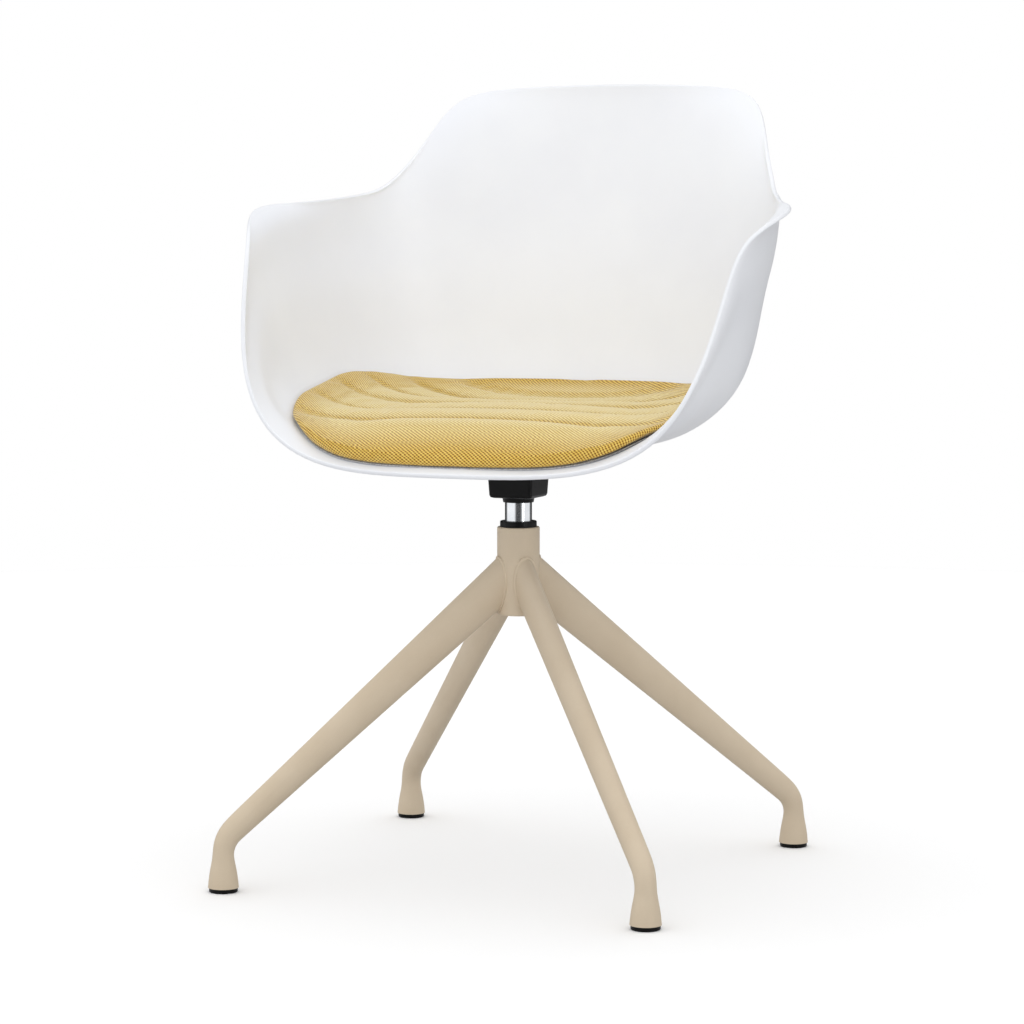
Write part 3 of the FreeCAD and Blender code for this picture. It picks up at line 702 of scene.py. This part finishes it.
def clothPlaces(points, shape, rings):
    # lays the cover out flat: lengths along its rows and down its middle, carried on over the edge
    rows, columns = shape
    count = rows * columns
    places = numpy.zeros((len(points), 3))
    places[:, :2] = points[:, :2]
    upper = points[:count].reshape(rows, columns, 3)
    across = numpy.zeros(shape)
    across[:, 1:] = numpy.cumsum(numpy.linalg.norm(numpy.diff(upper, axis=1), axis=2), axis=1)
    middle = columns // 2
    along = numpy.zeros(rows)
    along[1:] = numpy.cumsum(numpy.linalg.norm(numpy.diff(upper[:, middle], axis=0), axis=1))
    places[:count, 0] = (across - across[:, middle:middle + 1]).ravel()
    places[:count, 1] = numpy.repeat(along, columns)
    for high, low in zip(rings, rings[1:]):
        for k in range(len(high)):
            drop = numpy.linalg.norm(points[low[k]] - points[high[k]])
            places[low[k]] = places[high[k]] + numpy.array(outwards(points, rings[0], k)) * drop
    return places


def smoothed(piece):
    # the cover with finer faces; its cloth places follow where smoothing shifts points sideways
    fine = piece.modifiers.new("fine", "SUBSURF")
    fine.levels = fine.render_levels = 1
    fine.subdivision_type = "SIMPLE"
    flat = vectors(settled(piece))
    fine.subdivision_type = "CATMULL_CLARK"
    mesh = settled(piece)
    piece.modifiers.remove(fine)
    values = numpy.empty(len(flat) * 3)
    mesh.attributes["clothPlace"].data.foreach_get("vector", values)
    values[::3] += vectors(mesh)[:, 0] - flat[:, 0]
    mesh.attributes["clothPlace"].data.foreach_set("vector", values)
    return mesh


def makeSeatPad(look):
    mesh, shape, rings = layerMesh("seatPad", "pad_cushion", look)
    rows, columns = shape
    count = rows * columns
    piece = newPiece("seatPad", mesh, finishes["pad_cloth"])
    points = vectors(mesh)
    share = outlineShare(look, points[:, 0], points[:, 1])
    evenRim(look, points, share, shape, rings)
    moveTo(mesh, points)
    index = numpy.arange(len(points))
    seamDepth = seamDepths(look, points, share, count)
    resting = (index >= count) & (index < 2 * count) & (share < look["restsWithin"])
    # the rim and the rear panels stay flatter than the rest
    calm = numpy.maximum(smoothStep(*look["calmRim"], share), smoothStep(*look["calmRear"], points[:, 1]))
    held = (seamDepth > look["heldFrom"]) | resting
    swell(piece, look, held, look["mostMove"] * (1 - look["calm"] * calm))
    points = vectors(mesh)
    turns = points[:, 0] * (2 * math.pi / look["puckerPitch"]) + points[:, 1] * look["puckerShift"]
    points[:, 2] -= look["crease"] * seamDepth * (1 + look["pucker"] * numpy.sin(turns))
    moveTo(mesh, points)
    places = clothPlaces(points, shape, rings)
    # the third value of clothPlace is painted sheen: paler where the cover faces up, less so near its rim
    rim = 1 - look["rimSheenCut"] * smoothStep(*look["rimFrom"], share)
    places[:, 2] = smoothStep(*look["paintedSheen"], vectors(mesh, "normal")[:, 2]) * rim
    mesh.attributes.new("clothPlace", "FLOAT_VECTOR", "POINT").data.foreach_set("vector", places.ravel())
    piece.data = smoothed(piece)
    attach(piece, "seat")
    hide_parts("pad_cushion")
    print("seat pad:", len(points), "points")
    # the seams' lines on the finished cover, for the stitches
    cover = vectors(piece.data)[:count].reshape(rows, columns, 3)
    share = share[:count].reshape(shape)
    lines = []
    for i in range(rows):
        if min(abs(points[i * columns, 1] - seam) for seam in look["seams"]) < look["nearSeam"]:
            lines.append(cover[i][share[i] < look["stitchedWithin"]])
    return lines


seamLines = makeSeatPad(seatPad)


# Stitches along the seams

seamThread = {
    "pale": tint(226, 196, 124), "deep": tint(196, 158, 86), "twist": 0.0006, "twistDepth": 0.0001,
    "rough": 0.7, "roughTwist": 0.15,
}


def makeSeamThread(look):
    finish = Finish("twistedSeamThread", Specular_IOR_Level=0.25, Sheen_Weight=0.3)
    twist = finish.noise(finish.place(), look["twist"])
    finish.link("Base Color", twist.spread().mix(look["deep"], look["pale"]))
    finish.link("Roughness", look["rough"] + twist * look["roughTwist"])
    finish.relief(twist, look["twistDepth"])
    return finish.material


padStitches = {
    "pitch": 0.0046, "length": 0.0034, "thickness": 0.0009, "flat": 0.7, "uneven": 0.15, "seed": 7,
    "lift": 0.0001,
}


def stitchTree(look, thread):
    tree = bpy.data.node_groups.new("seamStitches", "GeometryNodeTree")
    tree.interface.new_socket("Seams", in_out="INPUT", socket_type="NodeSocketGeometry")
    for name in ("Pitch", "Length", "Thickness", "Uneven"):
        tree.interface.new_socket(name, in_out="INPUT", socket_type="NodeSocketFloat")
    tree.interface.new_socket("Seed", in_out="INPUT", socket_type="NodeSocketInt")
    tree.interface.new_socket("Stitches", in_out="OUTPUT", socket_type="NodeSocketGeometry")
    given = Sig(tree).node("NodeGroupInput", output="Seams")
    uneven, thick = given.other("Uneven"), given.other("Thickness")
    curve = given.node("GeometryNodeMeshToCurve", {}, {"Mesh": given})
    places = given.node("GeometryNodeCurveToPoints", {"mode": "LENGTH"},
                        {"Curve": curve, "Length": given.other("Pitch")})
    turn = given.node("FunctionNodeAlignRotationToVector", {"axis": "X"}, {"Vector": places.other("Tangent")})
    # the number sockets of Random Value: 2 lowest, 3 highest, 8 seed, and output 1
    chance = given.node("FunctionNodeRandomValue", {"data_type": "FLOAT"},
                        {2: 1 - uneven, 3: 1 + uneven, 8: given.other("Seed")}, 1)
    long = given.other("Length") * chance
    size = given.node("CombineXYZ", {}, {0: long, 1: thick, 2: thick * look["flat"]})
    bead = given.node("GeometryNodeMeshUVSphere", {}, {"Segments": 6, "Rings": 5, "Radius": 0.5})
    placed = given.node("GeometryNodeInstanceOnPoints", {},
                        {"Points": places, "Instance": bead, "Rotation": turn, "Scale": size})
    real = given.node("GeometryNodeRealizeInstances", {}, {"Geometry": placed})
    done = given.node("GeometryNodeSetMaterial", {}, {"Geometry": real, "Material": thread})
    tree.links.new(done.socket, tree.nodes.new("NodeGroupOutput").inputs["Stitches"])
    return tree


def makePadStitches(look, lines):
    points, edges = [], []
    for line in lines:
        edges += [(len(points) + k, len(points) + k + 1) for k in range(len(line) - 1)]
        points += [(x, y, z + look["lift"]) for x, y, z in line]
    mesh = bpy.data.meshes.new("seamLines")
    mesh.from_pydata(points, edges, [])
    guide = bpy.data.objects.new("seamLines", mesh)
    bpy.context.scene.collection.objects.link(guide)
    thread = makeSeamThread(seamThread)
    tree = stitchTree(look, thread)
    row = guide.modifiers.new("stitches", "NODES")
    row.node_group = tree
    for item in tree.interface.items_tree:
        if item.name.lower() in look:
            row[item.identifier] = look[item.name.lower()]
    stitches = settled(guide)
    guide.modifiers.remove(row)
    bpy.data.objects.remove(guide)
    piece = newPiece("padStitches", stitches, thread)
    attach(piece, "seat")
    print("stitches:", len(stitches.polygons), "faces")


makePadStitches(padStitches, seamLines)


# Underside of the pad: a thin felt with a soft, slightly uneven edge, and the four round grip patches

padBacking = {
    **padOutline, "halfWidth": 0.2174, "front": -0.1690, "back": 0.1712, "rowStep": 0.008, "columns": 64,
    "sampleInside": 0.945, "edgeBulge": 0.0006, "drawnIn": 0.0, "edgeDrop": 0.0022, "sunk": 0.0014,
    "waves": 0.0003, "waveCounts": (23, 41), "waveShift": 1.0,
}


def makePadBacking(look):
    mesh, _, rings = layerMesh("padBacking", "pad_backing", look)
    points = vectors(mesh)
    first, second = look["waveCounts"]
    for ring in rings:
        for index in ring:
            turn = math.atan2(points[index][1], points[index][0])
            wave = math.sin(turn * first) + math.sin(turn * second + look["waveShift"])
            points[index][2] += look["waves"] * wave / 2
    moveTo(mesh, points)
    piece = newPiece("padBacking", mesh, finishes["pad_underside"])
    fine = piece.modifiers.new("fine", "SUBSURF")
    fine.levels = fine.render_levels = 1
    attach(piece, "seat")
    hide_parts("pad_backing")
    print("pad backing:", len(points), "points")


makePadBacking(padBacking)

gripPatches = {
    "radius": 0.015, "aside": 0.040, "along": 0.032, "sides": 40,
    # how far out and how far up each ring of a patch stands, from its top round to its underside
    "rings": ((0.5, 0.92), (0.9, 1.0), (0.97, 0.9), (1.0, 0.6),
              (1.0, 0.3), (0.97, 0.06), (0.9, 0.0), (0.5, 0.0)),
}


def makeGripPatches(look):
    low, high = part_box("pad_tabs")
    turns = [2 * math.pi * k / look["sides"] for k in range(look["sides"])]
    work = bmesh.new()
    for x in (-look["aside"], look["aside"]):
        for y in (-look["along"], look["along"]):
            rings = []
            for out, rise in look["rings"]:
                z = low[2] + rise * (high[2] - low[2])
                reach = look["radius"] * out
                rings.append([work.verts.new((x + reach * math.cos(t), y + reach * math.sin(t), z))
                              for t in turns])
            for upper, under in zip(rings, rings[1:]):
                for k in range(look["sides"]):
                    work.faces.new((upper[k - 1], under[k - 1], under[k], upper[k]))
            work.faces.new(rings[0])
            work.faces.new(rings[-1][::-1])
    bmesh.ops.recalc_face_normals(work, faces=work.faces)
    mesh = bpy.data.meshes.new("gripPatches")
    work.to_mesh(mesh)
    work.free()
    piece = newPiece("gripPatches", mesh, finishes["pad_underside"])
    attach(piece, "seat")
    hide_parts("pad_tabs")
    print("grip patches:", len(mesh.polygons), "faces")


makeGripPatches(gripPatches)
